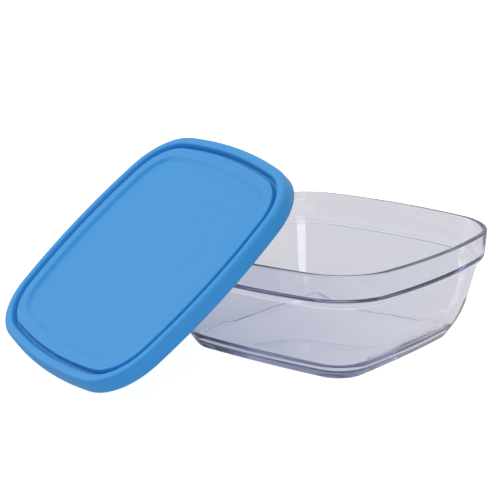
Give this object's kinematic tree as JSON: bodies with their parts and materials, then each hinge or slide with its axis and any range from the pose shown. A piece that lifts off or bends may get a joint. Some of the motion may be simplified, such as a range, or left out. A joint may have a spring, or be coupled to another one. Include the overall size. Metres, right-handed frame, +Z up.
{
  "type": "glass storage container",
  "caption": "Square clear glass food storage dish with a rounded collar and a soft plastic snap lid that leans against its rim.",
  "frame": {"origin": "centre of the dish's flat underside, on the table", "axes": "+Z up out of the dish's mouth; X and Y square to the dish's sides; the lid leans on the dish's -X -Y corner"},
  "size_m": [0.2841, 0.2909, 0.1353],
  "materials": {
    "clear_glass": "clear tempered glass, very faintly blue, fire-polished",
    "blue_plastic": "soft satin moulded plastic"
  },
  "bodies": {
    "dish": {"glass_dish": "clear_glass"},
    "lid": {"lid": "blue_plastic"}
  },
  "joints": [
    {"name": "lid_lift", "type": "slide", "parent": "dish", "child": "lid", "axis": [0, 0, 1], "range_m": [0, 0.12]}
  ]
}
